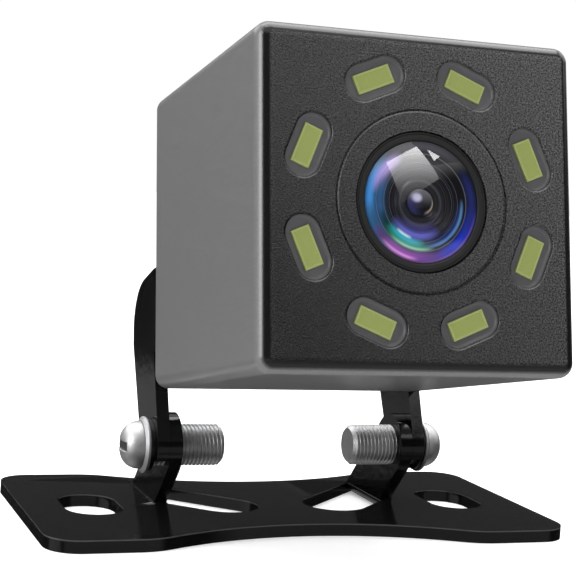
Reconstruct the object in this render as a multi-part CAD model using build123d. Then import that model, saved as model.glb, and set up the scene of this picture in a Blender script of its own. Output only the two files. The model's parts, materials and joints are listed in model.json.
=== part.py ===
from build123d import *
import os
from math import asin, atan2, cos, hypot, pi, radians, sin, sqrt

# Square backup camera with eight lamps round its lens, on a yoke that tilts on a small base bracket.
# Millimetres.  Row frame: origin on the underside of the base plate, midway between its two
# mounting slots, +X across the plate, +Y to the rear, +Z up.  The head is drawn in its own level
# frame (front face at Y = 0, +Y to the rear, Z = 0 at mid height) and then turned to its rest tilt.

# driving dimensions: base bracket
sheet = 1.1                     # steel sheet of the bracket and the yoke
plate_length = 45.8
plate_depth = 25.0
plate_waist_depth = 17.1        # depth of the plate at its middle
waist_radius = 27.0             # concave arc at the waist
shoulder_radius = 6.0           # convex arc between the waist and the straight lobe
plate_corner_radius = 2.75
slot_centre_x = 16.9
slot_width = 5.0
slot_length = 8.0               # along Y
ear_lean = 45.0                 # the ears lean forward from their roots
eye_radius = 2.8                # round ends of ears and yoke arms
window_clearance = 0.12         # kerf round the punched ear
window_centre_x = 5.1           # where the ear's eye lay before it was folded up
inner_bend_radius = 0.35

# driving dimensions: pivot stack
pivot_y = -1.1
pivot_height = 5.33             # pivot axis above the plate's top face
ear_inner_x = 10.08
arm_inner_x = 11.20
face_gap = 0.02                 # between flat faces of different bodies
screw_radius = 1.75             # fine thread, 0.35 mm pitch, drawn plain
tapped_hole_radius = 1.80
clearance_hole_radius = 1.85
screw_end_x = 6.0
lock_washer_radius = 2.25
lock_washer_thickness = 0.33
lock_washer_split = 0.45
flange_radius = 2.42
flange_thickness = 0.53
head_radius = 2.05
head_height = 1.62
driver_slot_width = 0.75
driver_slot_depth = 0.22
screw_chamfer = 0.3

# driving dimensions: camera head
rest_tilt = 10.86               # the head looks up by this much at rest
head_side = 25.0
head_depth = 27.0
edge_radius = 1.15
rear_edge_radius = 0.4
pivot_behind_face = 29.25       # pivot axis from the front face and from the head's mid height
pivot_below_centre = 17.2
front_wall = 1.2
cavity_side = 21.0
cover_side = 22.4
cover_clearance = 0.1
cover_front = 25.2
gasket_front = 24.6

lamp_count = 8
lamp_ring_radius = 9.5
lamp_first_angle = 22.5
lamp_length = 3.0
lamp_width = 1.45
lamp_front = 0.35
pocket_length = 4.8
pocket_width = 2.7
window_recess = 0.05
ring_groove_radius = 6.7
ring_groove_width = 0.16
ring_groove_depth = 0.12

post_place = 8.5                # four posts that carry the boards and take the cover's screws
post_radius = 2.2
post_neck_radius = 1.3
post_pilot_radius = 0.7         # holes for the cover's screws
board_side = 20.2
board_thickness = 1.0
board_hole_radius = 0.75        # for the lens mount's screws
lens_mount_screw_place = 5.6
resistor_ring_radius = 8.4
resistor_size = (2.0, 1.25, 0.5)
feed_pin_radius = 0.32
feed_pin_places = (-4.2, -2.9, 2.9, 4.2)
feed_pin_z = -9.3
lamp_board_radius = 10.3
sensor_board_front = 13.5
video_board_front = 19.0

lens_hole_radius = 5.2
collar_radius = 6.2
collar_end = 4.0
barrel_radius = 5.1
retainer_inner_radius = 4.4
retainer_end = 1.3
front_glass_radius = 4.36
front_glass_edge = 0.16         # the dome's edge, behind the housing's face
front_glass_sag = 0.55
front_glass_back = 3.5

# driving dimensions: yoke and gland
web_top = -1.95                 # the web bears on the rear face between these heights
web_bottom = -9.3
flange_rear = 34.9              # rearmost edge of the side flanges
flange_rear_top = -3.4
flange_rear_low = -8.3
flange_corner_radius = 4.4
arm_front = 28.0                # front edge of each arm just under the web
outer_bend_radius = 1.2
yoke_screw_x = 5.5
yoke_screw_z = -5.6
gland_z = 4.6
grommet_bore_radius = 1.7

plate_top = sheet
pivot_z = plate_top + pivot_height
ear_outer_x = ear_inner_x + sheet
arm_outer_x = arm_inner_x + sheet


# helpers
def block(x0, x1, y0, y1, z0, z1):
    """A box between two corners."""
    centre = ((x0 + x1) / 2, (y0 + y1) / 2, (z0 + z1) / 2)
    return Pos(*centre) * Box(x1 - x0, y1 - y0, z1 - z0)


def slab(face, y0, y1):
    """A face drawn looking along +Y, given thickness from y0 back to y1."""
    return extrude(Plane.XZ.offset(-y0) * face, -(y1 - y0))


def rod(radius, y0, y1, x=0.0, z=0.0):
    """A round bar along Y."""
    return slab(Pos(x, z) * Circle(radius), y0, y1)


def tube(outer, inner, y0, y1, x=0.0, z=0.0):
    """A round tube along Y."""
    return rod(outer, y0, y1, x, z) - rod(inner, y0, y1, x, z)


def square_block(side, y0, y1, corner=0.5):
    """A square plate across the head, with rounded corners."""
    return slab(RectangleRounded(side, side, corner), y0, y1)


def turned(points):
    """A solid of revolution about the optical axis; points are (radius, y)."""
    return revolve(make_face(Polyline(*points, close=True)), Axis.Y)


def turned_on_pivot(points):
    """A solid of revolution about the pivot axis; points are (x, radius)."""
    return Pos(0, pivot_y, pivot_z) * revolve(make_face(Polyline(*points, close=True)), Axis.X)


def at_rest(shape):
    """Carries a shape from the head's level frame to its tilted place on the pivot."""
    place = Pos(0, pivot_y, pivot_z) * Rot(-rest_tilt, 0, 0)
    return place * Pos(0, -pivot_behind_face, pivot_below_centre) * shape


def tangent_point(corner, centre, radius, side):
    """Where a line from corner touches a circle; side is +1 or -1."""
    dy, dz = corner[0] - centre[0], corner[1] - centre[1]
    angle = atan2(dz, dy) + side * (pi / 2 - asin(radius / hypot(dy, dz)))
    return (centre[0] + radius * cos(angle), centre[1] + radius * sin(angle))


def both_sides(shape):
    """The shape and its mirror image across the middle plane."""
    return shape + mirror(shape, Plane.YZ)


def four_corners(place):
    """The four (x, z) places of the posts."""
    return [(sx * place, sz * place) for sx in (-1, 1) for sz in (-1, 1)]


# base bracket
def plate_outline():
    """The plate's face: straight lobes at the ends, a concave waist front and rear."""
    half_length, half_depth, half_waist = plate_length / 2, plate_depth / 2, plate_waist_depth / 2
    reach = waist_radius + shoulder_radius
    drop = half_depth - half_waist
    shoulder_x = sqrt(reach**2 - (reach - drop) ** 2)
    waist_centre = half_waist + waist_radius
    slope = asin(shoulder_x / reach)
    touch_x = waist_radius * sin(slope)
    touch_y = waist_centre - waist_radius * cos(slope)
    middle_x = shoulder_x - shoulder_radius * sin(slope / 2)
    middle_y = half_depth - shoulder_radius * (1 - cos(slope / 2))
    edge = [
        Line((half_length, 0), (half_length, half_depth)),
        Line((half_length, half_depth), (shoulder_x, half_depth)),
        ThreePointArc((shoulder_x, half_depth), (middle_x, middle_y), (touch_x, touch_y)),
        ThreePointArc((touch_x, touch_y), (0, half_waist), (-touch_x, touch_y)),
        ThreePointArc((-touch_x, touch_y), (-middle_x, middle_y), (-shoulder_x, half_depth)),
        Line((-shoulder_x, half_depth), (-half_length, half_depth)),
        Line((-half_length, half_depth), (-half_length, 0)),
    ]
    rear = Curve() + edge
    face = make_face(rear + Line((-half_length, 0), (half_length, 0)))
    face = face + mirror(face, Plane.XZ)
    corners = face.vertices().filter_by(lambda v: abs(abs(v.X) - half_length) < 0.01 and abs(v.Y) > 1)
    return fillet(corners, plate_corner_radius)


def strip(centre, half_width, lean, reach):
    """A parallel strip with one round end; it runs from the centre at an angle for a length."""
    along = (cos(radians(lean)) * reach, sin(radians(lean)) * reach)
    across = (-sin(radians(lean)) * half_width, cos(radians(lean)) * half_width)
    x, y = centre
    corners = [
        (x + across[0], y + across[1]),
        (x + along[0] + across[0], y + along[1] + across[1]),
        (x + along[0] - across[0], y + along[1] - across[1]),
        (x - across[0], y - across[1]),
    ]
    return make_face(Polyline(*corners, close=True)) + Pos(x, y) * Circle(half_width)


def base_bracket():
    slot = Pos(slot_centre_x, 0) * Rot(0, 0, 90) * SlotOverall(slot_length, slot_width)
    window = strip((window_centre_x, pivot_y), eye_radius + window_clearance, ear_lean, 20)
    window = window & Pos(0, 0) * Rectangle(2 * ear_inner_x, 2 * plate_depth)
    face = plate_outline() - both_sides(slot) - both_sides(window)
    plate = extrude(face, sheet)
    ear_face = strip((pivot_y, pivot_z), eye_radius, -ear_lean, 20)
    ear_face = ear_face & Pos(0, plate_depth / 2) * Rectangle(2 * plate_depth, plate_depth)
    ear_face = ear_face - Pos(pivot_y, pivot_z) * Circle(tapped_hole_radius)
    ear = extrude(Plane.YZ.offset(ear_inner_x) * ear_face, sheet)
    bracket = plate + both_sides(ear)
    inner = bracket.edges().filter_by(Axis.Y).filter_by_position(Axis.Z, -0.01, 0.01)
    inner = inner.filter_by(lambda e: abs(abs(e.center().X) - ear_inner_x) < 0.01)
    bracket = fillet(inner, inner_bend_radius + 0.7)
    outer = bracket.edges().filter_by(Axis.Y).filter_by_position(Axis.Z, sheet - 0.01, sheet + 0.01)
    outer = outer.filter_by(lambda e: abs(abs(e.center().X) - ear_outer_x) < 0.01)
    return fillet(outer, inner_bend_radius)


# pivot screws and washers
def pivot_screw(side):
    """A domed slotted screw; the profile runs from the thread's end to the crown of the head."""
    under_head = arm_outer_x + 2 * face_gap + lock_washer_thickness + flange_thickness
    crown = [
        (under_head + head_height * sin(radians(a)), head_radius * cos(radians(a)) ** 0.7)
        for a in (15, 30, 45, 60, 75, 85)
    ]
    profile = [
        (screw_end_x, 0),
        (screw_end_x, screw_radius - screw_chamfer),
        (screw_end_x + screw_chamfer, screw_radius),
        (under_head, screw_radius),
        (under_head, head_radius),
        *crown,
        (under_head + head_height, 0),
    ]
    crown_x = under_head + head_height
    slot = block(
        crown_x - driver_slot_depth, crown_x + 1,
        pivot_y - head_radius, pivot_y + head_radius,
        pivot_z - driver_slot_width / 2, pivot_z + driver_slot_width / 2,
    )
    screw = turned_on_pivot(profile) - slot
    return screw if side > 0 else mirror(screw, Plane.YZ)


def lock_washer(side):
    """A split spring washer against the yoke's arm."""
    start = arm_outer_x + face_gap
    end = start + lock_washer_thickness
    ring = turned_on_pivot([
        (start, clearance_hole_radius), (start, lock_washer_radius),
        (end, lock_washer_radius), (end, clearance_hole_radius),
    ])
    split = block(
        start - 1, end + 1,
        pivot_y - lock_washer_split / 2, pivot_y + lock_washer_split / 2,
        pivot_z - 2 * lock_washer_radius, pivot_z,
    )
    washer = ring - split
    return washer if side > 0 else mirror(washer, Plane.YZ)


def flange_washer(side):
    """A steel washer with a chamfered outer rim under the screw's head."""
    start = arm_outer_x + face_gap + lock_washer_thickness
    end = start + flange_thickness
    washer = turned_on_pivot([
        (start, clearance_hole_radius), (start, flange_radius - 0.08),
        (start + 0.12, flange_radius), (start + 0.3, flange_radius),
        (end, head_radius + 0.05), (end, clearance_hole_radius),
    ])
    return washer if side > 0 else mirror(washer, Plane.YZ)


# camera shell
def lamp_places():
    """Sketch places of the lamps, each with its long side along the ring."""
    places = []
    for k in range(lamp_count):
        angle = lamp_first_angle + 360 / lamp_count * k
        x = lamp_ring_radius * cos(radians(angle))
        z = lamp_ring_radius * sin(radians(angle))
        places.append(Pos(x, z) * Rot(0, 0, angle + 90))
    return places


def front_housing():
    shell = block(-head_side / 2, head_side / 2, 0, head_depth, -head_side / 2, head_side / 2)
    long_edges = shell.edges().filter_by(Axis.Y)
    shell = fillet(long_edges, edge_radius)
    shell = fillet(shell.faces().sort_by(Axis.Y)[0].edges(), edge_radius)
    shell = fillet(shell.faces().sort_by(Axis.Y)[-1].edges(), rear_edge_radius)
    shell -= square_block(cavity_side, front_wall, gasket_front + 1)
    shell -= square_block(cover_side + 2 * cover_clearance, gasket_front, head_depth + 1)
    shell += tube(collar_radius, lens_hole_radius, front_wall - 0.1, collar_end)
    for x, z in four_corners(post_place):
        shell += rod(post_radius, front_wall - 0.1, sensor_board_front, x, z)
        shell += rod(post_neck_radius, sensor_board_front - 0.1, gasket_front + 0.3, x, z)
        shell -= rod(post_pilot_radius, sensor_board_front + 1, gasket_front + 1, x, z)
    shell -= rod(lens_hole_radius, -1, front_wall + 1)
    shell -= tube(
        ring_groove_radius + ring_groove_width / 2, ring_groove_radius - ring_groove_width / 2,
        -1, ring_groove_depth,
    )
    for place in lamp_places():
        shell -= slab(place * SlotOverall(pocket_length, pocket_width), -1, front_wall)
    return shell


def rear_cover():
    cover = square_block(cover_side, cover_front, head_depth, 0.6)
    for side in (-1, 1):
        cover += rod(2.0, cover_front - 2.4, cover_front + 0.1, side * yoke_screw_x, yoke_screw_z)
        cover -= rod(1.05, cover_front - 3, head_depth + 1, side * yoke_screw_x, yoke_screw_z)
    cover -= rod(3.05, cover_front - 1, head_depth + 1, 0, gland_z)
    for x, z in four_corners(post_place):
        cover -= rod(0.8, cover_front - 1, head_depth + 1, x, z)
        cover -= rod(1.6, head_depth - 0.95, head_depth + 1, x, z)
    return cover


def rear_gasket():
    ring = square_block(cover_side, gasket_front, cover_front, 0.6)
    return ring - square_block(cavity_side - 0.1, gasket_front - 1, cover_front + 1, 0.5)


def round_headed_screws(places, head, shank, tip, top, head_height):
    """Small round-headed screws along Y, heads to the rear."""
    screws = []
    for x, z in places:
        screw = rod(head, top - head_height, top, x, z) + rod(shank, tip, top - 0.1, x, z)
        cross = Rectangle(head * 1.1, 0.3) + Rectangle(0.3, head * 1.1)
        recess = slab(Pos(x, z) * cross, top - 0.4, top + 1)
        screws.append(screw - recess)
    return screws


# lamps
def lamp_windows():
    windows = []
    for place in lamp_places():
        plug = slab(place * SlotOverall(pocket_length, pocket_width), window_recess, front_wall)
        seat = Rectangle(lamp_length + 0.06, lamp_width + 0.06)
        nest = slab(place * seat, lamp_front - 0.03, front_wall + 1)
        windows.append(plug - nest)
    return windows


def lamps():
    chip = Rectangle(lamp_length, lamp_width)
    return [slab(place * chip, lamp_front, front_wall) for place in lamp_places()]


def lamp_board():
    board = rod(lamp_board_radius, front_wall, front_wall + board_thickness)
    board -= rod(collar_radius + 0.15, 0, front_wall + board_thickness + 1)
    for x, z in four_corners(post_place):
        board -= rod(post_radius + 0.15, 0, front_wall + board_thickness + 1, x, z)
    return board


def lamp_resistors():
    back = front_wall + board_thickness
    length, width, height = resistor_size
    shapes = []
    for k in range(lamp_count // 2):
        angle = 90 * k
        x = resistor_ring_radius * cos(radians(angle))
        z = resistor_ring_radius * sin(radians(angle))
        body = Pos(x, z) * Rot(0, 0, angle + 90) * Rectangle(length, width)
        shapes.append(slab(body, back, back + height))
    return shapes


def lamp_feed_pins():
    start = front_wall + board_thickness
    return [rod(feed_pin_radius, start, sensor_board_front, x, feed_pin_z) for x in feed_pin_places]


# lens
def lens_retainer():
    """The black ring that clamps the front glass, with a flat face and chamfered edges."""
    return turned([
        (retainer_inner_radius, 0.24), (4.52, 0.1), (4.97, 0.06), (5.12, 0.3), (5.12, retainer_end),
        (retainer_inner_radius, retainer_end),
    ])


def lens_barrel():
    return turned([(4.5, 1.32), (barrel_radius, 1.32), (barrel_radius, 10.5), (2.2, 10.5), (2.2, 9.3),
                   (3.0, 9.3), (3.0, 5.7), (3.5, 5.7), (3.5, 3.6), (4.5, 3.6)])


def dome(radius, edge_y, sag, steps=8):
    """Points of a shallow dome from its apex to its edge, as (radius, y)."""
    ball = (radius**2 + sag**2) / (2 * sag)
    apex = edge_y - sag
    radii = [radius * k / steps for k in range(steps + 1)]
    return [(r, apex + ball - sqrt(ball**2 - r**2)) for r in radii]


def front_lens_element():
    """A meniscus: a shallow dome in front and a deeper hollow behind."""
    face = dome(front_glass_radius, front_glass_edge, front_glass_sag)
    hollow = dome(3.0, front_glass_back, 1.9)
    step = front_glass_back - 0.9
    rim = [(front_glass_radius, step), (4.4, step), (4.4, front_glass_back)]
    return turned(face + rim + hollow[::-1])


def lens_stack():
    """Glass elements and spacers behind the front element, in order."""
    return {
        "front_spacer": turned([(2.7, 3.65), (3.44, 3.65), (3.44, 4.25), (2.7, 4.25)]),
        "second_lens_element": turned([
            (0, 4.05), (1.6, 4.2), (3.4, 4.32), (3.4, 5.3), (1.8, 4.95), (0, 4.8),
        ]),
        "aperture_stop": turned([(1.1, 5.42), (3.4, 5.42), (3.4, 5.62), (1.1, 5.62)]),
        "third_lens_element": turned([(0, 5.8), (1.5, 5.95), (2.9, 6.4), (2.9, 7.0), (0, 7.3)]),
        "rear_spacer": turned([(2.3, 7.35), (2.92, 7.35), (2.92, 7.65), (2.3, 7.65)]),
        "rear_lens_element": turned([
            (0, 7.45), (1.5, 7.55), (2.25, 7.7), (2.9, 7.75), (2.9, 8.7), (0, 9.2),
        ]),
    }


def lens_seal():
    ring = tube(6.1, barrel_radius + 0.03, collar_end + 0.02, collar_end + 0.95)
    return fillet(ring.edges(), 0.25)


def lens_mount_screw_places():
    """The two (x, z) places on one diagonal of the lens mount."""
    return ((-lens_mount_screw_place, lens_mount_screw_place),
            (lens_mount_screw_place, -lens_mount_screw_place))


def lens_mount():
    mount = rod(6.4, 6.4, 11.2) + square_block(14.0, 11.2, sensor_board_front)
    mount -= rod(barrel_radius + 0.05, 6, 10.6)
    mount -= block(-3.3, 3.3, 10.5, 11.7, -3.3, 3.3)
    mount -= block(-4.2, 4.2, 11.65, sensor_board_front + 1, -4.2, 4.2)
    for x, z in lens_mount_screw_places():
        mount -= rod(0.65, 12, sensor_board_front + 1, x, z)
    return mount - block(-2.6, 2.6, 10, 12, -2.6, 2.6)


# boards
def circuit_board(front, extra_holes=()):
    board = square_block(board_side, front, front + board_thickness)
    for x, z in four_corners(post_place):
        board -= rod(post_neck_radius + 0.1, front - 1, front + board_thickness + 1, x, z)
    for x, z in extra_holes:
        board -= rod(board_hole_radius, front - 1, front + board_thickness + 1, x, z)
    return board


def post_tubes(y0, y1):
    return [tube(1.95, post_neck_radius + 0.1, y0, y1, x, z) for x, z in four_corners(post_place)]


def sensor_parts():
    package = block(-3.6, 3.6, 12.5, sensor_board_front, -3.6, 3.6)
    package -= block(-2.9, 2.9, 12, 13.0, -2.9, 2.9)
    return {
        "infrared_filter": block(-3.2, 3.2, 10.75, 11.05, -3.2, 3.2),
        "sensor_glass": block(-3.5, 3.5, 12.08, 12.48, -3.5, 3.5),
        "image_sensor": package,
    }


def video_parts():
    back = video_board_front + board_thickness
    return {
        "processor_chip": block(-3.5, 3.5, video_board_front - 0.9, video_board_front, -3.5, 3.5),
        "oscillator_crystal": block(-6.6, -4.6, video_board_front - 0.8, video_board_front, -1.6, 1.6),
        "board_connector": block(-5, 5, sensor_board_front + board_thickness, video_board_front, 7.0, 9.2),
        "filter_capacitors": [rod(1.6, back, back + 3.2, x, z) for x, z in ((-6.4, 4.4), (6.4, 4.4))],
        "power_inductor": block(-2.2, 2.2, back, back + 2.0, -9.4, -5.8),
        "cable_socket": block(-4.4, 4.4, back, back + 2.6, -3.2, -0.2),
    }


# cable gland
def cable_gland():
    hexagon = slab(Pos(0, gland_z) * RegularPolygon(4.2, 6), head_depth, head_depth + 1.6)
    snout = rod(3.1, head_depth + 1.5, head_depth + 4.2, 0, gland_z)
    neck = rod(2.95, cover_front - 2.4, head_depth + 0.1, 0, gland_z)
    gland = hexagon + snout + neck
    return gland - rod(2.35, cover_front - 3, head_depth + 5, 0, gland_z)


def cable_grommet():
    sleeve = rod(2.3, cover_front - 2.6, head_depth + 4.1, 0, gland_z)
    lip = rod(2.75, head_depth + 4.22, head_depth + 4.8, 0, gland_z)
    lip += rod(2.3, head_depth + 4.0, head_depth + 4.5, 0, gland_z)
    return sleeve + lip - rod(grommet_bore_radius, cover_front - 4, head_depth + 6, 0, gland_z)


def gland_nut():
    nut = slab(Pos(0, gland_z) * RegularPolygon(4.1, 6), cover_front - 1.6, cover_front)
    return nut - rod(3.0, cover_front - 3, cover_front + 1, 0, gland_z)


# yoke
def yoke():
    """A folded U: a web on the rear face, two side flanges that run down as arms to round eyes."""
    web_front = head_depth + face_gap
    eye = (pivot_behind_face, -pivot_below_centre)
    rear_top = (flange_rear, flange_rear_top)
    rear_low = (flange_rear, flange_rear_low)
    front_low = (arm_front, web_bottom)
    side = make_face(Polyline(
        (web_front, web_top), rear_top, rear_low,
        tangent_point(rear_low, eye, eye_radius, -1),
        tangent_point(front_low, eye, eye_radius, 1),
        front_low, (web_front, web_bottom), close=True,
    ))
    side = fillet(side.vertices().sort_by_distance(rear_top)[0:1], flange_corner_radius)
    side = side + Pos(*eye) * Circle(eye_radius) - Pos(*eye) * Circle(clearance_hole_radius)
    arms = both_sides(extrude(Plane.YZ.offset(arm_inner_x) * side, sheet))
    lower = arms & block(-20, 20, 0, 2 * flange_rear, 2 * web_bottom, web_bottom)
    channel = fold(arm_outer_x, web_front, outer_bend_radius)
    channel = channel - fold(arm_inner_x, web_front + sheet, inner_bend_radius)
    upper = channel & extrude(Plane.YZ.offset(-20) * side, 40)
    bracket = upper + lower
    for screw_side in (-1, 1):
        bracket -= rod(1.3, web_front - 1, web_front + 2, screw_side * yoke_screw_x, yoke_screw_z)
    return bracket


def fold(half_width, front, radius):
    """A tall block behind the web's front, with its two front uprights rounded."""
    solid = block(-half_width, half_width, front, 2 * flange_rear, web_bottom, 0)
    uprights = solid.edges().filter_by(Axis.Z).filter_by_position(Axis.Y, front - 0.01, front + 0.01)
    return fillet(uprights, radius)


# assembly
head_nodes = {
    "front_housing": front_housing(),
    "lamp_windows": lamp_windows(),
    "lamps": lamps(),
    "lamp_board": lamp_board(),
    "lamp_resistors": lamp_resistors(),
    "lamp_feed_pins": lamp_feed_pins(),
    "lens_retainer": lens_retainer(),
    "lens_barrel": lens_barrel(),
    "front_lens_element": front_lens_element(),
    "lens_seal": lens_seal(),
    "lens_mount": lens_mount(),
    "sensor_board": circuit_board(sensor_board_front, lens_mount_screw_places()),
    "lens_mount_screws": round_headed_screws(lens_mount_screw_places(), 1.3, 0.6, 12.3, 15.3, 0.8),
    "board_spacers": post_tubes(sensor_board_front + board_thickness, video_board_front),
    "video_board": circuit_board(video_board_front),
    "cover_spacers": post_tubes(video_board_front + board_thickness, gasket_front - 0.02),
    "rear_gasket": rear_gasket(),
    "rear_cover": rear_cover(),
    "rear_cover_screws": round_headed_screws(
        four_corners(post_place), 1.5, 0.6, 17.0, head_depth - 0.1, 0.8),
    "yoke": yoke(),
    "yoke_screws": round_headed_screws(
        ((-yoke_screw_x, yoke_screw_z), (yoke_screw_x, yoke_screw_z)),
        2.1, 1.0, 23.2, head_depth + face_gap + sheet + 1.4, 1.38),
    "cable_gland": cable_gland(),
    "cable_grommet": cable_grommet(),
    "gland_nut": gland_nut(),
    **lens_stack(),
    **sensor_parts(),
    **video_parts(),
}
fixed_nodes = {"base_bracket": base_bracket()}
for side_name, side_sign in (("left", -1), ("right", 1)):
    fixed_nodes[side_name + "_pivot_screw"] = pivot_screw(side_sign)
    fixed_nodes[side_name + "_lock_washer"] = lock_washer(side_sign)
    fixed_nodes[side_name + "_flange_washer"] = flange_washer(side_sign)


def whole(shape):
    """One exportable shape from a single solid or a list of separate ones."""
    return Compound(children=list(shape)) if isinstance(shape, list) else shape


os.makedirs("parts", exist_ok=True)
for node_name, node_shape in fixed_nodes.items():
    export_step(whole(node_shape), "parts/" + node_name + ".step")
for node_name, node_shape in head_nodes.items():
    if isinstance(node_shape, list):
        node_shape = [at_rest(piece) for piece in node_shape]
    else:
        node_shape = at_rest(node_shape)
    export_step(whole(node_shape), "parts/" + node_name + ".step")
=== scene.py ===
import json
import math

import bmesh
import bpy
import numpy as np
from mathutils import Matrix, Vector


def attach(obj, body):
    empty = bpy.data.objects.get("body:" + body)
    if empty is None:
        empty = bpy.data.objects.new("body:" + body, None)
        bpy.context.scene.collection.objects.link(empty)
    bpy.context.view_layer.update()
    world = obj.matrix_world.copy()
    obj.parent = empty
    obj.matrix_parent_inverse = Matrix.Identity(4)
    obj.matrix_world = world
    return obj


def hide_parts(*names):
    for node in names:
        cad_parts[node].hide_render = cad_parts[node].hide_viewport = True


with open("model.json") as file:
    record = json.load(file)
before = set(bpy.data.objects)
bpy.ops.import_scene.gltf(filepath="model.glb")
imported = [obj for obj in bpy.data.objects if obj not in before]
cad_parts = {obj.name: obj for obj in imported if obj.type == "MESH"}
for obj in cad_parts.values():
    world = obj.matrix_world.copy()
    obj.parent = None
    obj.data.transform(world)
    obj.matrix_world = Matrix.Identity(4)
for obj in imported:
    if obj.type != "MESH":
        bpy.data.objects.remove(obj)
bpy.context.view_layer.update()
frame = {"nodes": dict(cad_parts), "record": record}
nodes = frame["nodes"]
print("frame loaded:", len(nodes), "nodes")

mm = 0.001
headSetting = {
    "tilt": 10.86,              # degrees the head looks up at rest
    "pivot": (-1.1, 6.43),      # y and z of the pivot axis in the row frame, mm
    "pivotInHead": (29.25, -17.2),  # the same axis in the head's own level frame
}
lampRing = {"count": 8, "firstAngle": 22.5, "ring": 9.5}     # eight lamps, degrees and mm in the head frame
pocketSetting = {"length": 4.8, "width": 2.7}
tiltCos = math.cos(math.radians(headSetting["tilt"]))
tiltSin = math.sin(math.radians(headSetting["tilt"]))


def headPlace(points):
    # head frame in mm (front face at y 0, optical axis at x 0, z 0) turned about the pivot into row metres
    x, y, z = points[:, 0], points[:, 1], points[:, 2]
    dy = y - headSetting["pivotInHead"][0]
    dz = z - headSetting["pivotInHead"][1]
    rowY = headSetting["pivot"][0] + tiltCos * dy + tiltSin * dz
    rowZ = headSetting["pivot"][1] - tiltSin * dy + tiltCos * dz
    return np.stack([x, rowY, rowZ], 1) * mm


def pivotPlace(points):
    # x along the pivot axis, y and z measured from it
    shifted = points + np.array([0, headSetting["pivot"][0], headSetting["pivot"][1]])
    return shifted * mm


class Value:
    # wraps one socket, so that shader maths reads as ordinary expressions

    def __init__(self, look, socket):
        self.look = look
        self.socket = socket

    def math(self, operation, *others):
        sockets = {0: self}
        for k, other in enumerate(others):
            sockets[k + 1] = other
        return self.look.add("ShaderNodeMath", {"operation": operation}, sockets)

    def __add__(self, other):
        return self.math("ADD", other)

    def __radd__(self, other):
        return self.math("ADD", other)

    def __sub__(self, other):
        return self.math("SUBTRACT", other)

    def __rsub__(self, other):
        return self.look.add("ShaderNodeMath", {"operation": "SUBTRACT"}, {0: other, 1: self})

    def __mul__(self, other):
        return self.math("MULTIPLY", other)

    def __rmul__(self, other):
        return self.math("MULTIPLY", other)

    def __truediv__(self, other):
        return self.math("DIVIDE", other)

    def __pow__(self, other):
        return self.math("POWER", other)

    def clip(self):
        return self.math("MAXIMUM", 0.0).math("MINIMUM", 1.0)

    def step(self, start, end):
        # 0 before start, 1 past end, smooth between
        t = ((self - start) / (end - start)).clip()
        return t * t * (3 - 2 * t)

    def near(self, centre, width):
        # 1 at the centre, falling to 0 at width on either side
        return (1 - (self - centre).math("ABSOLUTE") / width).clip()


class Look:
    # one material: a Principled shader and the nodes that feed it

    def __init__(self, name, color, roughness, metallic=0.0, **fixed):
        self.material = bpy.data.materials.new(name)
        self.material.use_nodes = True
        self.tree = self.material.node_tree
        self.shader = self.tree.nodes["Principled BSDF"]
        self.shader.inputs["Base Color"].default_value = (*color, 1)
        self.shader.inputs["Roughness"].default_value = roughness
        self.shader.inputs["Metallic"].default_value = metallic
        for socket, value in fixed.items():
            self.shader.inputs[socket.replace("_", " ")].default_value = value

    def add(self, kind, settings, sockets, out=0):
        # any node: its settings first, then the values or links of its sockets
        node = self.tree.nodes.new(kind)
        for key, value in settings.items():
            setattr(node, key, value)
        for key, value in sockets.items():
            if isinstance(value, Value):
                self.tree.links.new(value.socket, node.inputs[key])
            else:
                node.inputs[key].default_value = value
        return Value(self, node.outputs[out])

    def rowPoint(self):
        # object coordinates in millimetres
        place = self.add("ShaderNodeTexCoord", {}, {}, "Object")
        return self.add("ShaderNodeMapping", {}, {"Vector": place, "Scale": (1000, 1000, 1000)})

    def headPoint(self):
        # object coordinates turned back into the head's level frame, in millimetres
        py, pz = headSetting["pivot"]
        hy, hz = headSetting["pivotInHead"]
        shift = (0, hy - tiltCos * py + tiltSin * pz, hz - tiltSin * py - tiltCos * pz)
        place = self.add("ShaderNodeTexCoord", {}, {}, "Object")
        turn = (math.radians(headSetting["tilt"]), 0, 0)
        return self.add(
            "ShaderNodeMapping", {},
            {"Vector": place, "Scale": (1000, 1000, 1000), "Rotation": turn, "Location": shift},
        )

    def parts(self, point):
        split = self.add("ShaderNodeSeparateXYZ", {}, {0: point})
        outputs = split.socket.node.outputs
        return [Value(self, outputs[k]) for k in range(3)]

    def noise(self, point, size, detail=2.0, rough=0.5):
        # size is the grain in millimetres
        sockets = {"Vector": point, "Scale": 1 / size, "Detail": detail, "Roughness": rough}
        return self.add("ShaderNodeTexNoise", {}, sockets)

    def stretched(self, point, scale):
        return self.add("ShaderNodeMapping", {}, {"Vector": point, "Scale": scale})

    def mix(self, amount, first, second):
        # colour mix; first and second are colours or sockets
        colors = {}
        for key, shade in ((6, first), (7, second)):
            colors[key] = shade if isinstance(shade, Value) else (*shade, 1)
        return self.add("ShaderNodeMix", {"data_type": "RGBA"}, {0: amount, **colors}, 2)

    def color(self, value):
        self.tree.links.new(value.socket, self.shader.inputs["Base Color"])

    def rough(self, value):
        self.tree.links.new(value.socket, self.shader.inputs["Roughness"])

    def glow(self, value, strength):
        self.tree.links.new(value.socket, self.shader.inputs["Emission Color"])
        self.shader.inputs["Emission Strength"].default_value = strength

    def bump(self, height, strength=1.0):
        # height in millimetres
        normal = self.add("ShaderNodeBump", {}, {"Height": height, "Distance": 0.001, "Strength": strength})
        self.tree.links.new(normal.socket, self.shader.inputs["Normal"])


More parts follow.
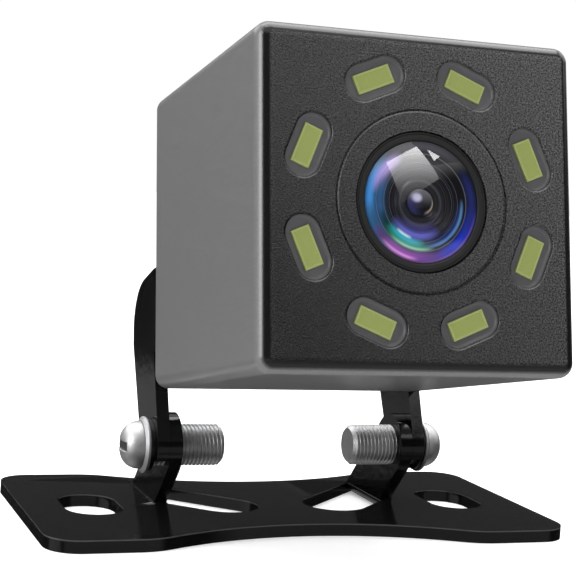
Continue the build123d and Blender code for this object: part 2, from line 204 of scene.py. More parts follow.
def makePiece(name, points, faces, look, body, replaced=(), sharp=40, closed=True, shares=None):
    # shares: the name of a point attribute and its value at each point
    mesh = bpy.data.meshes.new(name)
    mesh.from_pydata(points.tolist(), [], faces.tolist())
    if shares:
        mesh.attributes.new(shares[0], "FLOAT", "POINT").data.foreach_set("value", shares[1])
    tidy = bmesh.new()
    tidy.from_mesh(mesh)
    bmesh.ops.remove_doubles(tidy, verts=tidy.verts, dist=1e-7)
    if closed:
        bmesh.ops.recalc_face_normals(tidy, faces=tidy.faces)
    tidy.to_mesh(mesh)
    tidy.free()
    mesh.polygons.foreach_set("use_smooth", np.ones(len(mesh.polygons), bool))
    mesh.set_sharp_from_angle(angle=math.radians(sharp))
    mesh.materials.append(look.material)
    piece = bpy.data.objects.new(name, mesh)
    bpy.context.scene.collection.objects.link(piece)
    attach(piece, body)
    if replaced:
        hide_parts(*replaced)


def gridFaces(rows, columns, wrap):
    # quads between neighbouring rows and columns; wrap joins the last column to the first
    across = columns if wrap else columns - 1
    r, c = np.meshgrid(np.arange(rows - 1), np.arange(across), indexing="ij")
    nextC = (c + 1) % columns
    here = r * columns
    beyond = (r + 1) * columns
    quads = np.stack([here + c, here + nextC, beyond + nextC, beyond + c], -1)
    return quads.reshape(-1, 4)


def turned(profile, segments=96):
    # a profile of (radius, along) carried round an axis: x = radius cos a, z = radius sin a, y = along
    profile = np.array(profile, float)
    angle = np.linspace(0, 2 * np.pi, segments, endpoint=False)
    radius, along = profile[:, :1], profile[:, 1:]
    x = radius * np.cos(angle)
    z = radius * np.sin(angle)
    y = along + 0 * angle
    points = np.stack([x, y, z], -1).reshape(-1, 3)
    return points, gridFaces(len(profile), segments, True)


def eased(profile, radius=0.03, steps=3):
    # every inner corner of an open profile cut back by radius and rounded with a quadratic arc
    profile = [np.array(p, float) for p in profile]
    result = [profile[0]]
    t = np.linspace(0, 1, steps + 1)[:, None]
    for before, corner, after in zip(profile, profile[1:], profile[2:]):
        toBefore = before - corner
        toAfter = after - corner
        cut = min(radius, np.linalg.norm(toBefore) * 0.45, np.linalg.norm(toAfter) * 0.45)
        start = corner + toBefore / max(np.linalg.norm(toBefore), 1e-9) * cut
        end = corner + toAfter / max(np.linalg.norm(toAfter), 1e-9) * cut
        result += list((1 - t) ** 2 * start + 2 * t * (1 - t) * corner + t ** 2 * end)
    return np.array(result + [profile[-1]])


outlineCount = 48       # points round each rounded rectangle


def outline(halfLength, halfWidth, corner, count=outlineCount):
    # a rounded rectangle: centres of the corner arcs plus the arc, evenly spaced in angle round each corner
    per = count // 4
    arc = (np.arange(count) % per) / (per - 1) * np.pi / 2 + np.pi / 2 * (np.arange(count) // per)
    sx = np.array([1, -1, -1, 1])[np.arange(count) // per]
    sz = np.array([1, 1, -1, -1])[np.arange(count) // per]
    x = sx * (halfLength - corner) + corner * np.cos(arc)
    z = sz * (halfWidth - corner) + corner * np.sin(arc)
    return np.stack([x, z], 1)


def stacked(rows):
    # rows of (half length, half width, corner radius, y): rounded rectangles joined one to the next
    rings = [np.insert(outline(a, b, c), 1, y, axis=1) for a, b, c, y in rows]
    return np.concatenate(rings), gridFaces(len(rows), outlineCount, True)


def aroundLens(points, faces, settings):
    # copies a shape to the eight lamp places, its long side along the ring
    shapes, allFaces = [], []
    for k in range(settings["count"]):
        place = math.radians(settings["firstAngle"] + 360 / settings["count"] * k)
        turn = place + math.pi / 2
        x = points[:, 0] * math.cos(turn) - points[:, 2] * math.sin(turn) + settings["ring"] * math.cos(place)
        z = points[:, 0] * math.sin(turn) + points[:, 2] * math.cos(turn) + settings["ring"] * math.sin(place)
        shapes.append(np.stack([x, points[:, 1], z], 1))
        allFaces.append(faces + k * len(points))
    return np.concatenate(shapes), np.concatenate(allFaces)


def blackPaint():
    look = Look("glossBlackPaint", (0.004, 0.004, 0.004), 0.12, Specular_IOR_Level=0.40)
    p = look.rowPoint()
    peel = look.noise(p, 0.9, 2)
    dust = look.noise(p, 0.22, 3).step(0.60, 0.80)
    # a paler line is painted along the plate's upper edges: a painted highlight where the edges catch the
    # light
    paintedEdgeHighlight = look.parts(p)[2].near(1.02, 0.085) * (0.55 + 0.6 * look.noise(p, 1.4, 2)).clip()
    coat = look.mix(dust, (0.0024, 0.0024, 0.0026), (0.008, 0.008, 0.0085))
    look.color(look.mix(paintedEdgeHighlight, coat, (0.072, 0.072, 0.074)))
    look.rough(0.07 + 0.08 * look.noise(p, 4.0, 2) + 0.10 * dust)
    look.bump(peel * 0.012)
    return look


def pocketDistance(x, z):
    # how far a point of the face lies outside the nearest lamp pocket: the eight sectors are folded
    # onto one, and there the pocket is a straight core with round ends
    sector = 2 * math.pi / lampRing["count"]
    radius = (x * x + z * z) ** 0.5
    turn = ((z.math("ARCTAN2", x) / sector + lampRing["count"]).math("FRACT") - 0.5) * sector
    outward = radius * turn.math("COSINE") - lampRing["ring"]
    core = (pocketSetting["length"] - pocketSetting["width"]) / 2
    along = ((radius * turn.math("SINE")).math("ABSOLUTE") - core).math("MAXIMUM", 0.0)
    return (outward * outward + along * along) ** 0.5 - pocketSetting["width"] / 2


def housingFinish():
    # satin shell whose front edge is painted near black, a painted reflection; the front face is finely
    # pebbled, smoother at the pockets' rims, its specks painted lighter towards the upper right and darker
    # towards the lower left as painted shade
    look = Look("grainedCharcoal", (0.02, 0.02, 0.02), 0.4, IOR=1.6)
    p = look.headPoint()
    x, y, z = look.parts(p)
    inner = 1 - x.math("ABSOLUTE").math("MAXIMUM", z.math("ABSOLUTE")).step(11.15, 11.30)
    inner = inner * (1 - y.step(1.5, 2.0))
    front = (1 - y.step(0.002, 0.060)).math("MAXIMUM", inner)
    # painted reflection: the front fillet is coloured near black where it would reflect dark surroundings,
    # and it is made glossier
    edge = 1 - y.step(0.18, 0.48)
    grain = look.noise(p, 0.13, 3, 0.7)
    cloud = look.noise(p, 2.5, 2)
    brushed = look.noise(look.stretched(p, (1, 0.06, 1)), 0.16, 2)
    speck = grain.step(0.40, 0.62)
    rim = 1 - pocketDistance(x, z).step(0.02, 0.15)
    radius = (x * x + z * z) ** 0.5
    disc = 1 - radius.step(6.50, 6.63)
    # painted shade: the face's specks are lighter towards the upper right and darker towards the lower left
    paintedFaceShade = (0.44 + x * 0.028 + z * 0.016).clip()
    low = look.mix(paintedFaceShade, (0.0002, 0.0002, 0.0002), (0.003, 0.003, 0.003))
    high = look.mix(paintedFaceShade, (0.0002, 0.0002, 0.0002), (0.088, 0.088, 0.089))
    sideShade = look.mix(brushed, (0.090, 0.090, 0.092), (0.131, 0.131, 0.133))
    shell = look.mix(edge, sideShade, (0.005, 0.005, 0.005))
    look.color(look.mix(front, shell, look.mix(speck, low, high)))
    face = front * (0.06 + 0.10 * speck) * (1 - rim * 0.6)
    look.rough(0.26 - 0.13 * edge + 0.04 * cloud + 0.05 * brushed + face)
    grainHeight = (grain - 0.5) * front * (1 - rim) * 0.11
    look.bump(grainHeight - rim * front * 0.10 + disc * front * 0.15 + (brushed - 0.5) * (1 - front) * 0.003)
    return look


def steelFinish(name, color, roughness, slotted=False):
    look = Look(name, color, roughness, 1.0)
    p = look.rowPoint()
    lathe = look.noise(look.stretched(p, (1, 0.15, 0.15)), 0.07, 2)
    blotch = look.noise(p, 0.8, 3)
    bright = tuple(min(1.0, c * 1.12) for c in color)
    dull = tuple(c * 0.78 for c in color)
    shade = look.mix(blotch, dull, bright)
    if slotted:
        # painted shade: the floor of the driver slot is coloured dark
        x, y, z = look.parts(p)
        inside = 1 - (z - headSetting["pivot"][1]).math("ABSOLUTE").step(0.36, 0.39)
        shade = look.mix(inside * x.math("ABSOLUTE").step(14.56, 14.59) * 0.85, shade, (0.13, 0.13, 0.135))
    look.color(shade)
    look.rough(roughness - 0.07 + 0.14 * blotch + 0.06 * lathe)
    look.bump(lathe * 0.006 + blotch * 0.004)
    return look


def lensBlack():
    look = Look("anodisedLensBlack", (0.014, 0.014, 0.014), 0.42)
    p = look.headPoint()
    x, y, z = look.parts(p)
    radius = (x * x + z * z) ** 0.5
    rings = (radius * 90.0).math("SINE")
    fine = look.noise(p, 0.15, 2)
    band = radius.step(4.53, 4.56) * (1 - radius.step(4.94, 4.96))
    base = look.mix(fine, (0.003, 0.003, 0.003), (0.006, 0.006, 0.006))
    look.color(look.mix(band, base, (0.008, 0.008, 0.008)))
    look.rough(0.44 + 0.12 * fine)
    look.bump(rings * 0.0015 + fine * 0.004)
    return look


def moulded(name, dark, light, roughness, grain=0.25, height=0.01):
    look = Look(name, dark, roughness)
    p = look.headPoint()
    fine = look.noise(p, grain, 3)
    wide = look.noise(p, 3.0, 2)
    look.color(look.mix(fine * 0.6 + wide * 0.4, dark, light))
    look.rough(roughness - 0.06 + 0.14 * wide)
    look.bump(fine * height)
    return look


def circuitBoard():
    look = Look("solderMaskBoard", (0.01, 0.09, 0.04), 0.3)
    p = look.headPoint()
    lanes = look.add("ShaderNodeTexVoronoi", {"distance": "MANHATTAN"}, {"Vector": p, "Scale": 0.9})
    track = lanes.step(0.30, 0.36) * (1 - lanes.step(0.46, 0.52))
    look.color(look.mix(track, (0.006, 0.060, 0.026), (0.014, 0.13, 0.055)))
    look.rough(0.26 + 0.12 * look.noise(p, 0.4, 2))
    look.bump(track * 0.02)
    return look


def phosphor():
    look = Look("lampPhosphor", (0.40, 0.46, 0.10), 0.45, Specular_IOR_Level=0.4)
    p = look.headPoint()
    grain = look.noise(p, 0.09, 3, 0.7)
    wide = look.noise(p, 0.9, 1)
    edge = look.add("ShaderNodeAttribute", {"attribute_name": "rimward"}, {}, "Fac")
    body = look.mix(grain, (0.155, 0.185, 0.044), (0.232, 0.268, 0.069))
    body = look.mix(wide * 0.35, body, (0.215, 0.265, 0.055))
    # a lighter rim is painted round each lamp face: a painted highlight on its rounded edge
    look.color(look.mix(edge.step(0.55, 0.95) * 0.3, body, (0.33, 0.38, 0.16)))
    look.rough(0.38 + 0.2 * grain)
    look.bump(grain * 0.02)
    return look


def smokedResin():
    look = Look("smokedResin", (0.09, 0.09, 0.095), 0.34)
    p = look.headPoint()
    haze = look.noise(p, 0.5, 3)
    fleck = look.noise(p, 0.08, 2).step(0.62, 0.75)
    look.color(look.mix(haze, (0.064, 0.064, 0.068), (0.082, 0.082, 0.087)))
    look.rough(0.32 + 0.08 * haze + 0.1 * fleck)
    look.bump(haze * 0.004 + fleck * 0.002)
    return look


def clearGlass(name, tint, index):
    # see-through shell: a Fresnel share of gloss over a transparent base
    look = Look(name, tint, 0.02)
    gloss = look.tree.nodes.new("ShaderNodeBsdfGlossy")
    gloss.inputs["Color"].default_value = (1, 1, 1, 1)
    gloss.inputs["Roughness"].default_value = 0.015
    clear = look.tree.nodes.new("ShaderNodeBsdfTransparent")
    clear.inputs["Color"].default_value = (*tint, 1)
    blend = look.tree.nodes.new("ShaderNodeMixShader")
    share = look.add("ShaderNodeFresnel", {}, {"IOR": index})
    look.tree.links.new(share.socket, blend.inputs[0])
    look.tree.links.new(clear.outputs[0], blend.inputs[1])
    look.tree.links.new(gloss.outputs[0], blend.inputs[2])
    out = look.tree.nodes["Material Output"]
    look.tree.links.new(blend.outputs[0], out.inputs["Surface"])
    look.tree.nodes.remove(look.shader)
    return look


# painted reflections of the coated lens: each entry is an arc of colour painted on the bowl
paintedCoatingReflections = {
    # name: (colour, radius, half width, direction in degrees, half angle in degrees, strength)
    "azure": ((0.05, 0.24, 0.50), 4.02, 0.62, 182, 66, 1.0),
    "azureBright": ((0.08, 0.32, 0.66), 4.05, 0.50, 162, 38, 0.9),
    "slateBlue": ((0.04, 0.10, 0.20), 3.95, 0.55, 212, 34, 0.9),
    "plum": ((0.14, 0.04, 0.18), 4.00, 0.55, 230, 28, 0.9),
    "magenta": ((0.30, 0.05, 0.40), 4.00, 0.55, 254, 36, 1.0),
    "pinkGlint": ((0.76, 0.36, 0.74), 4.16, 0.20, 244, 24, 0.8),
    "violetFoot": ((0.12, 0.04, 0.28), 4.05, 0.50, 284, 26, 0.9),
    "cobalt": ((0.012, 0.045, 0.58), 4.00, 0.55, 322, 40, 1.0),
    "navy": ((0.02, 0.03, 0.17), 4.00, 0.55, 0, 44, 0.9),
    "violetRim": ((0.22, 0.10, 0.50), 4.30, 0.12, 312, 44, 0.7),
    "greyCrown": ((0.060, 0.060, 0.078), 4.10, 0.50, 95, 62, 0.9),
    "lilac": ((0.55, 0.40, 0.80), 3.55, 0.68, 143, 32, 1.0),
    "innerAzure": ((0.04, 0.13, 0.28), 3.25, 0.70, 180, 44, 0.95),
    "deepTeal": ((0.006, 0.04, 0.04), 3.10, 0.60, 214, 26, 0.9),
    "green": ((0.04, 0.30, 0.17), 3.25, 0.50, 248, 40, 1.0),
    "mint": ((0.34, 0.66, 0.46), 3.42, 0.20, 256, 34, 0.9),
    "cyan": ((0.02, 0.52, 0.60), 2.92, 0.38, 244, 34, 1.0),
    "periwinkle": ((0.17, 0.17, 0.66), 2.42, 0.50, 258, 54, 1.0),
    "iceGlint": ((0.66, 0.88, 1.0), 2.70, 0.20, 240, 16, 1.0),
    "skyArc": ((0.20, 0.56, 0.98), 3.24, 0.18, 320, 50, 1.0),
    "blueVeil": ((0.015, 0.04, 0.20), 3.10, 0.45, 318, 50, 0.8),
    "indigo": ((0.07, 0.06, 0.22), 1.85, 0.50, 262, 54, 0.9),
    "crownGrey": ((0.045, 0.045, 0.052), 2.60, 1.10, 100, 60, 0.8),
}
# narrow grey rings painted on the bowl as painted highlights
paintedRingHighlights = {
    # radius: (half width, grey level)
    3.56: (0.045, 0.22),
    2.92: (0.035, 0.15),
    2.62: (0.020, 0.09),
    2.48: (0.030, 0.13),
    2.22: (0.020, 0.045),
    2.05: (0.030, 0.06),
    1.84: (0.020, 0.045),
    1.62: (0.16, 0.075),
    1.30: (0.030, 0.04),
}


def paintedLensReflections():
    # painted reflections on the bowl: coloured arcs standing in for the coated lens's reflections, and narrow
    # grey rings as painted highlights; the bowl also glows with these colours, painted light of its own
    look = Look("lensBowlPaintedReflections", (0.006, 0.006, 0.008), 0.12, Specular_IOR_Level=0.6)
    p = look.headPoint()
    x, y, z = look.parts(p)
    radius = (x * x + z * z) ** 0.5
    unit = radius.math("MAXIMUM", 0.05)
    shade = look.mix(radius.step(1.0, 3.4), (0.020, 0.020, 0.023), (0.007, 0.007, 0.010))
    for tone, ringPlace, halfWidth, direction, halfAngle, strength in paintedCoatingReflections.values():
        c = math.cos(math.radians(direction))
        s = math.sin(math.radians(direction))
        facing = (x * c + z * s) / unit
        fan = facing.step(math.cos(math.radians(halfAngle)), 1.0)
        band = radius.near(ringPlace, halfWidth)
        band = band * band * (3 - 2 * band)
        shade = look.mix((fan * (band * strength)).clip(), shade, tone)
    for ringPlace, (halfWidth, grey) in paintedRingHighlights.items():
        shade = look.mix(radius.near(ringPlace, halfWidth) * 0.8, shade, (grey, grey, grey * 1.08))
    # the small inner lens, all painted light: lighter grey towards the top, a violet painted reflection at
    # the lower left, one painted glint, a warm painted spot at the lower right and a dark ring round it
    inside = 1 - radius.step(0.98, 1.02)
    moat = radius.near(1.05, 0.12)
    glint = 1 - ((x + 0.46) * (x + 0.46) + (z - 0.30) * (z - 0.30)).step(0.0, 0.26)
    ember = radius.near(0.84, 0.15) * ((x * 0.86 - z * 0.51) / unit).step(0.60, 1.0)
    ball = look.mix(z.step(-0.5, 1.1), (0.008, 0.008, 0.010), (0.21, 0.21, 0.22))
    ball = look.mix((0 - x).step(0.0, 1.0) * (1 - z.step(0.1, 0.8)) * 0.6, ball, (0.06, 0.05, 0.20))
    ball = look.mix(glint * glint * 0.85, ball, (0.80, 0.76, 1.0))
    ball = look.mix(ember * 0.9, ball, (0.50, 0.40, 0.29))
    shade = look.mix(moat * 0.9, shade, (0.004, 0.004, 0.005))
    shade = look.mix(inside, shade, ball)
    look.color(shade)
    # painted light: the bowl glows with its painted colours though it is no lamp
    look.glow(shade, 0.55)
    return look


looks = {
    "black_steel": blackPaint(),
    "housing": housingFinish(),
    "bright_steel": steelFinish("satinZincSteel", (0.60, 0.60, 0.61), 0.50),
    "dark_steel": steelFinish("blackenedSpringSteel", (0.055, 0.055, 0.058), 0.34),
    "lens_black": lensBlack(),
    "optical_glass": clearGlass("innerOpticalGlass", (0.93, 0.96, 0.97), 1.6),
    "filter_glass": clearGlass("infraredFilterGlass", (0.55, 0.85, 0.90), 1.6),
    "lamp_phosphor": phosphor(),
    "lamp_resin": smokedResin(),
    "circuit_board": circuitBoard(),
    "component_black": moulded("mouldedComponentBlack", (0.012, 0.012, 0.013), (0.024, 0.024, 0.026), 0.42),
    "ceramic": moulded("ceramicChip", (0.30, 0.24, 0.17), (0.40, 0.33, 0.25), 0.5),
    "bright_can": steelFinish("brightCan", (0.72, 0.72, 0.73), 0.26),
    "brass": steelFinish("tinnedBrass", (0.66, 0.52, 0.27), 0.30),
    "soft_rubber": moulded(
        "softBlackRubber", (0.014, 0.014, 0.014), (0.026, 0.026, 0.026), 0.62, 0.12, 0.012),
    "gland_plastic": moulded(
        "glandNylonBlack", (0.013, 0.013, 0.014), (0.026, 0.026, 0.028), 0.36, 0.18, 0.01),
}
screwSteel = steelFinish("slottedScrewSteel", (0.71, 0.71, 0.72), 0.48, True)
paintedBowlLook = paintedLensReflections()
domeLook = clearGlass("coatedFrontGlass", (0.97, 0.98, 1.0), 2.1)

slotOf = {entry["node"]: entry["material_slot"] for entry in frame["record"]["subparts"]}
for nodeName, node in nodes.items():
    node.data.materials.clear()
    node.data.materials.append(looks[slotOf[nodeName]].material)
print("finishes on", len(nodes), "nodes")


sheetSetting = {"edge": 0.14, "segments": 2, "fromAngle": 32}


def softened(nodeName, name, look, body, s):
    # a welded copy of the sheet, its flat faces joined up and its outward corners rounded
    mesh = nodes[nodeName].data.copy()
    mesh.name = name
    weld = bmesh.new()
    weld.from_mesh(mesh)
    bmesh.ops.remove_doubles(weld, verts=weld.verts, dist=2e-6)
    bmesh.ops.dissolve_limit(weld, angle_limit=math.radians(0.2), verts=weld.verts, edges=weld.edges)
    weld.normal_update()
    least = math.radians(s["fromAngle"])
    outward = [edge.is_convex and edge.calc_face_angle(0) > least for edge in weld.edges]
    weld.to_mesh(mesh)
    weld.free()
    weights = mesh.attributes.new("bevel_weight_edge", "FLOAT", "EDGE")
    weights.data.foreach_set("value", np.array(outward, np.float32))
    mesh.materials.clear()
    mesh.materials.append(look.material)
    mesh.polygons.foreach_set("use_smooth", np.ones(len(mesh.polygons), bool))
    mesh.set_sharp_from_angle(angle=math.radians(s["fromAngle"]))
    piece = bpy.data.objects.new(name, mesh)
    bpy.context.scene.collection.objects.link(piece)
    bevel = piece.modifiers.new("edges", "BEVEL")
    bevel.width = s["edge"] * mm
    bevel.segments = s["segments"]
    bevel.limit_method = "WEIGHT"
    bevel.harden_normals = True
    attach(piece, body)
    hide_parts(nodeName)


softened("base_bracket", "paintedBracket", looks["black_steel"], "base", sheetSetting)
softened("yoke", "paintedYoke", looks["black_steel"], "head", sheetSetting)
print("sheet steel edges softened")


lampSetting = {
    "length": 3.0,
    "width": 1.45,
    "corner": 0.05,
    "front": 0.27,          # lamp face behind the housing's face
    "foot": 1.15,
}
windowSetting = {
    **pocketSetting,
    "rim": 0.16,            # where the resin meets the pocket's wall
    "floor": 0.47,          # the flat of the resin round the lamp
    "fillet": 0.30,
}


def lampRows(s):
    a, b, c = s["length"] / 2, s["width"] / 2, s["corner"]
    front = s["front"]
    steps = [(0, s["foot"]), (0, front + 0.05), (0.02, front + 0.012), (0.05, front), (0.16, front),
             (0.19, front + 0.02), (0.40, front + 0.022)]
    rows = [(a - cut, b - cut, max(c - cut * 0.4, 0.01), y) for cut, y in steps]
    rows.append((a - b, 0, 0, front + 0.022))
    return rows


def windowRows(s):
    a, b = s["length"] / 2, s["width"] / 2
    t = np.linspace(0, 1, 7)
    rows = [(a, b, b - 0.001, 1.18), (a, b, b - 0.001, s["rim"])]
    for k in t[1:]:
        cut = s["fillet"] * (1 - math.cos(k * math.pi / 2))
        y = s["rim"] + (s["floor"] - s["rim"]) * math.sin(k * math.pi / 2)
        rows.append((a - cut, b - cut, b - cut - 0.001, y))
    rows.append((a - b, 0, 0, s["floor"]))
    return rows


points, faces = stacked(lampRows(lampSetting))
lampPoints, lampFaces = aroundLens(points, faces, lampRing)
# how near each row of the lamp is to its rim, from the foot to the middle of its face
rowShares = [1, 1, 1, 1, 0.8, 0.2, 0, 0]
rimShares = np.tile(np.repeat(rowShares, outlineCount), lampRing["count"]).astype(np.float32)
# the rim share also places the lighter rim painted on each lamp face as a painted highlight
makePiece("lampChips", headPlace(lampPoints), lampFaces, looks["lamp_phosphor"], "head", ["lamps"],
          30, shares=("rimward", rimShares))

points, faces = stacked(windowRows(windowSetting))
windowPoints, windowFaces = aroundLens(points, faces, lampRing)
makePiece(
    "lampResinWindows", headPlace(windowPoints), windowFaces, looks["lamp_resin"], "head",
    ["lamp_windows"], 35)
print("lamps and windows made")


retainerProfile = [
    (4.46, 1.30), (4.44, 0.30), (4.45, 0.20), (4.50, 0.14), (4.53, 0.11), (4.60, 0.10), (4.90, 0.08),
    (4.92, 0.12), (4.95, 0.12), (4.97, 0.07), (5.08, 0.08), (5.16, 0.16), (5.16, 1.30), (4.46, 1.30),
]
points, faces = turned(eased(retainerProfile, 0.02), 144)
makePiece("lensClampRing", headPlace(points), faces, looks["lens_black"], "head", ["lens_retainer"])

glassSetting = {"radius": 4.43, "edge": 0.16, "sag": 0.56, "steps": 28}


def domeProfile(s):
    # a spherical cap: y falls from the apex as ball - sqrt(ball^2 - r^2)
    ball = (s["radius"] ** 2 + s["sag"] ** 2) / (2 * s["sag"])
    r = np.linspace(0, s["radius"], s["steps"])
    return np.stack([r, s["edge"] - s["sag"] + ball - np.sqrt(ball ** 2 - r ** 2)], 1)


points, faces = turned(domeProfile(glassSetting), 128)
makePiece("frontGlassDome", headPlace(points), faces[:, ::-1], domeLook, "head", closed=False)

bowlProfile = [
    (4.42, 0.18), (3.62, 0.26), (3.59, 0.22), (3.55, 0.22), (3.52, 0.28), (2.96, 0.34), (2.93, 0.31),
    (2.88, 0.31), (2.85, 0.36), (2.66, 0.38), (2.63, 0.36), (2.60, 0.38), (2.51, 0.40), (2.48, 0.37),
    (2.44, 0.40), (2.08, 0.44), (2.05, 0.42), (2.01, 0.45), (1.80, 0.48), (1.62, 0.44), (1.45, 0.49),
    (1.33, 0.51), (1.30, 0.49), (1.26, 0.52), (1.04, 0.56), (1.00, 0.48),
]
ballSetting = {"foot": 0.48, "height": 0.62, "steps": 18}       # the small inner lens on the bowl's floor
bowlBack = 3.4
ballAngles = np.linspace(0, np.pi / 2, ballSetting["steps"])[1:]
ballPoints = [(math.cos(a), ballSetting["foot"] - ballSetting["height"] * math.sin(a)) for a in ballAngles]
bowl = np.concatenate([eased(bowlProfile, 0.015), np.array(ballPoints)])
bowl[-1, 0] = 0.0
bowlRadius, bowlEdge = bowlProfile[0]
shell = np.concatenate([bowl, np.array([(0, bowlBack), (bowlRadius, bowlBack), (bowlRadius, bowlEdge)])])
points, faces = turned(shell, 128)
makePiece("lensBowlPaintedReflections", headPlace(points), faces, paintedBowlLook, "head", ["front_lens_element"],
          50)
print("lens made")


screwSetting = {
    "radius": 1.79,
    "threadDepth": 0.16,
    "pitch": 0.35,
    "end": 6.0,             # tip of the thread, from the middle plane
    "chamfer": 0.32,
    "faceShare": 0.55,      # radius of the tip's inner circle, as a share of its rim
    "rowsPerTurn": 10,
    "segments": 80,
    "under": 13.20,         # underside of the head, from the middle plane
    "headRadius": 2.05,
    "headHeight": 1.62,
    "crownPower": 2.9,      # higher is flatter on top
    "slotWidth": 0.75,
    "slotDepth": 0.22,
}


def screwThread(s, side):
    # radius = crest - depth * rounded trapezoid of the helix phase, cut back at the end by the chamfer
    start, end = s["end"], s["under"] - 0.05
    around = s["segments"]
    along = np.arange(start, end, s["pitch"] / s["rowsPerTurn"])
    angle = np.linspace(0, 2 * np.pi, around, endpoint=False)
    x, a = np.meshgrid(side * along, angle, indexing="ij")
    phase = np.abs(((x / s["pitch"] - a / (2 * np.pi)) % 1) * 2 - 1)
    groove = np.clip((phase - 0.22) / 0.56, 0, 1)
    groove = groove * groove * (3 - 2 * groove)
    radius = s["radius"] - s["threadDepth"] * groove
    taper = s["radius"] - s["chamfer"] + (np.abs(x) - start)
    radius = np.minimum(radius, taper)
    points = np.stack([x, radius * np.cos(a), radius * np.sin(a)], -1).reshape(-1, 3)
    rows = len(along)
    face = np.stack([np.full(around, side * start), np.zeros(around), np.zeros(around)], 1)
    rim = points[:around] * np.array([1, s["faceShare"], s["faceShare"]])
    points = np.concatenate([face, rim, points])
    return points, gridFaces(rows + 2, around, True)


def screwHead(s, side):
    # height over the underside is headHeight * sqrt(1 - (r / headRadius)^crownPower), less the driver slot
    half = s["slotWidth"] / 2
    lip = 0.05
    R = s["headRadius"]
    outer = -R * np.cos(np.linspace(0, np.pi / 2, 14))
    outer = outer[outer < -half - lip - 0.03]
    slot = np.array([-half - lip, -half - 0.015, -half, -half + 0.02, -half + 0.1, -half / 2])
    lower = np.concatenate([outer, slot])
    zLines = np.concatenate([lower, [0.0], -lower[::-1]])
    inSlot = np.abs(zLines) < half - 0.01
    brink = np.abs(np.abs(zLines) - half - 0.015) < 0.001
    wall = np.abs(np.abs(zLines) - half) < 0.001
    t = np.sin(np.linspace(-np.pi / 2, np.pi / 2, 57))
    z = zLines[:, None] + 0 * t[None, :]
    y = np.sqrt(np.maximum(R ** 2 - z ** 2, 0)) * t[None, :]
    r = np.minimum(np.sqrt(y * y + z * z) / R, 1)
    crown = s["headHeight"] * np.sqrt(np.maximum(1 - r ** s["crownPower"], 0))
    floor = s["headHeight"] - s["slotDepth"]
    height = np.where(inSlot[:, None], np.minimum(crown, floor), crown)
    height = np.where(wall[:, None], np.where(crown > floor, crown - 0.05, crown), height)
    height = np.where(brink[:, None], np.where(crown > floor, crown - 0.02, crown), height)
    top = np.stack([side * (s["under"] + height), y, z], -1).reshape(-1, 3)
    base = np.stack([side * (s["under"] + 0 * height), y, z], -1).reshape(-1, 3)
    quads = gridFaces(len(zLines), len(t), False)
    return np.concatenate([top, base]), np.concatenate([quads, quads[:, ::-1] + len(top)])


def pivotTurned(profile, side):
    # a profile of (radius, x) carried round the pivot axis
    points, faces = turned(eased(profile))
    return np.stack([side * points[:, 1], points[:, 0], points[:, 2]], 1), faces


washerProfile = [
    (1.86, 12.67), (2.34, 12.67), (2.42, 12.76), (2.42, 12.93), (2.34, 12.99), (2.10, 13.16), (1.86, 13.17),
    (1.86, 12.67),
]
for sideName, side in (("left", -1), ("right", 1)):
    threadPoints, threadFaces = screwThread(screwSetting, side)
    headPoints, headFaces = screwHead(screwSetting, side)
    points = np.concatenate([threadPoints, headPoints])
    faces = np.concatenate([threadFaces, headFaces + len(threadPoints)])
    makePiece(sideName + "ScrewSlotted", pivotPlace(points), faces, screwSteel, sideName + "_screw",
              [sideName + "_pivot_screw"], 38)
    points, faces = pivotTurned(washerProfile, side)
    makePiece(sideName + "WasherFlanged", pivotPlace(points), faces, looks["bright_steel"],
              sideName + "_washers", [sideName + "_flange_washer"], 38)
print("screws made")


view = {
    "place": (-47.11, -128.29, 30.22),      # mm
    "turn": (85.80, -3.56, -19.84),         # degrees
    "lens": 96.96,                          # mm
    "sensor": 36,                           # mm
    "clip": (0.005, 20),                    # metres
}
studio = {
    "sky": 1.02,
    "floorReach": 1.6,
}
panels = {
    # corners as directions from the part, distance in metres, radiance at the lowest and highest edge,
    # how fast it grows between them, and whether it lights matt surfaces too
    "frontWindow": (((0.095, -0.790, 0.606), (0.352, -0.630, 0.683), (0.512, -0.710, 0.470),
                     (0.200, -0.928, 0.313)), 0.45, 0.15, 6.2, 2.3, False),
    "smallPane": (((0.430, -0.612, 0.655), (0.524, -0.592, 0.601), (0.478, -0.650, 0.582)),
                  0.45, 5.0, 5.0, 1, False),
    "upperVeil": (((0.47, -0.68, 0.56), (0.74, -0.43, 0.53), (0.72, -0.20, 0.68), (0.40, -0.35, 0.85),
                   (0.33, -0.62, 0.71)), 0.7, 0.25, 0.30, 1, False),
    "leftPanel": (((-0.94, -0.40, 0.03), (-0.94, -0.02, 0.03), (-0.85, -0.02, 0.60), (-0.85, -0.40, 0.60)),
                  0.5, 7.0, 7.0, 1, True),
    "rearPanel": (((-0.90, 0.40, 0.30), (-0.10, 0.95, 0.30), (-0.12, 0.70, 0.85), (-0.70, 0.35, 0.85)),
                  0.5, 2.6, 2.0, 1, True),
    "topPanel": (((-0.35, -0.22, 0.95), (0.50, -0.22, 0.90), (0.55, 0.50, 0.75), (-0.35, 0.55, 0.75)),
                 0.6, 4.0, 4.0, 1, True),
}


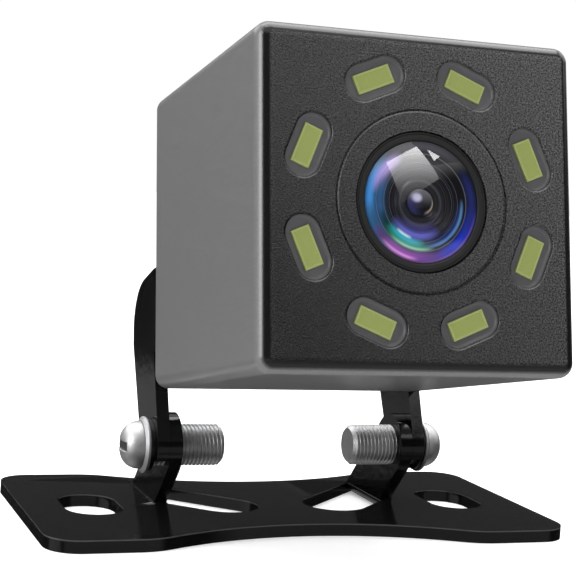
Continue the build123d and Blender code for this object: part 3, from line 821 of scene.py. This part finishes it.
def glowSheet(name, corners, distance, low, high, growth, lightsMatt):
    mesh = bpy.data.meshes.new(name)
    places = [Vector((0, 0, 0.02)) + Vector(c).normalized() * distance for c in corners]
    mesh.from_pydata(places, [], [range(len(corners))])
    sheetLook = Look(name, (0, 0, 0), 1.0, Specular_IOR_Level=0.0)
    height = sheetLook.parts(sheetLook.add("ShaderNodeTexCoord", {}, {}, "Object"))[2]
    heights = [place.z for place in places]
    rise = ((height - min(heights)) / (max(heights) - min(heights) + 1e-6)).clip()
    level = low + (high - low) * rise ** growth
    sheetLook.glow(sheetLook.add("ShaderNodeCombineXYZ", {}, {0: level, 1: level, 2: level}), 1.0)
    mesh.materials.append(sheetLook.material)
    sheet = bpy.data.objects.new(name, mesh)
    bpy.context.scene.collection.objects.link(sheet)
    sheet.visible_camera = False
    sheet.visible_shadow = False
    sheet.visible_diffuse = lightsMatt


for panelName, panel in panels.items():
    glowSheet(panelName, *panel)

floorMesh = bpy.data.meshes.new("paleFloor")
reach = studio["floorReach"]
floorCorners = [(-reach, -reach, 0), (reach, -reach, 0), (reach, reach, 0), (-reach, reach, 0)]
floorMesh.from_pydata(floorCorners, [], [(0, 1, 2, 3)])
floorLook = Look("paleFloorPaper", (0.93, 0.93, 0.93), 0.9, Specular_IOR_Level=0.1)
floorGrain = floorLook.noise(floorLook.rowPoint(), 0.6, 3)
floorLook.glow(floorLook.mix(floorGrain, (0.96, 0.96, 0.96), (1, 1, 1)), 0.34)
floorMesh.materials.append(floorLook.material)
floor = bpy.data.objects.new("paleFloor", floorMesh)
bpy.context.scene.collection.objects.link(floor)
floor.visible_glossy = False

world = bpy.data.worlds.new("studioSky")
bpy.context.scene.world = world
world.use_nodes = True
world.node_tree.nodes["Background"].inputs["Color"].default_value = (1, 1, 1, 1)
world.node_tree.nodes["Background"].inputs["Strength"].default_value = studio["sky"]
world.cycles_visibility.glossy = False

# a closed cloth round the set, seen only in glossy surfaces; radius and height in metres
tentProfile = [(0.01, -1.9), (1.0, -1.6), (1.7, -0.8), (1.9, 0.0), (1.7, 0.8), (1.0, 1.6), (0.01, 1.9)]
tentPoints, tentFaces = turned(tentProfile, 32)
tentMesh = bpy.data.meshes.new("studioTent")
tentMesh.from_pydata(tentPoints[:, [0, 2, 1]].tolist(), [], tentFaces.tolist())
tentLook = Look("studioTentCloth", (0, 0, 0), 1.0, Specular_IOR_Level=0.0)
tentPoint = tentLook.add("ShaderNodeTexCoord", {}, {}, "Object")
tentX, tentY, tentHeight = tentLook.parts(tentPoint)
rearLeft = tentY.step(0.2, 0.8) * (1 - tentX.step(-0.5, 0.0))
strip = tentHeight.step(-0.345, -0.32) * (1 - tentHeight.step(-0.235, -0.215)) * rearLeft
leftSide = (1 - tentX.step(-1.75, -1.5)) * (1 - tentY.step(0.5, 0.9))
frontStrip = (1 - tentY.step(-1.3, -0.9)) * tentHeight.step(-0.65, -0.5) * (1 - tentHeight.step(0.0, 0.12))
rearBand = tentY.step(0.3, 0.7) * tentHeight.step(0.05, 0.15) * (1 - tentHeight.step(0.45, 0.6))
rightSide = tentY.step(-0.5, -0.1) * tentX.step(1.0, 1.3) * tentHeight.step(0.35, 0.6)
tentGlow = 0.022 + 0.35 * (1 - tentHeight.step(-0.95, -0.55)) + 0.80 * tentHeight.step(0.85, 1.15)
tentGlow = tentGlow + 0.20 * strip + 0.55 * leftSide + 1.3 * rightSide + 0.30 * frontStrip + 0.034 * rearBand
tentLook.glow(tentLook.add("ShaderNodeCombineXYZ", {}, {0: tentGlow, 1: tentGlow, 2: tentGlow}), 1.0)
tentMesh.materials.append(tentLook.material)
tent = bpy.data.objects.new("studioTent", tentMesh)
bpy.context.scene.collection.objects.link(tent)
tent.visible_camera = False
tent.visible_diffuse = False
tent.visible_shadow = False
tent.visible_transmission = False

camera = bpy.data.objects.new("mainCamera", bpy.data.cameras.new("mainCamera"))
camera.data.lens = view["lens"]
camera.data.sensor_width = view["sensor"]
camera.data.clip_start, camera.data.clip_end = view["clip"]
camera.location = Vector(view["place"]) * mm
camera.rotation_euler = [math.radians(a) for a in view["turn"]]
bpy.context.scene.collection.objects.link(camera)
bpy.context.scene.camera = camera
bpy.context.scene.view_settings.view_transform = "Standard"
print("studio set")
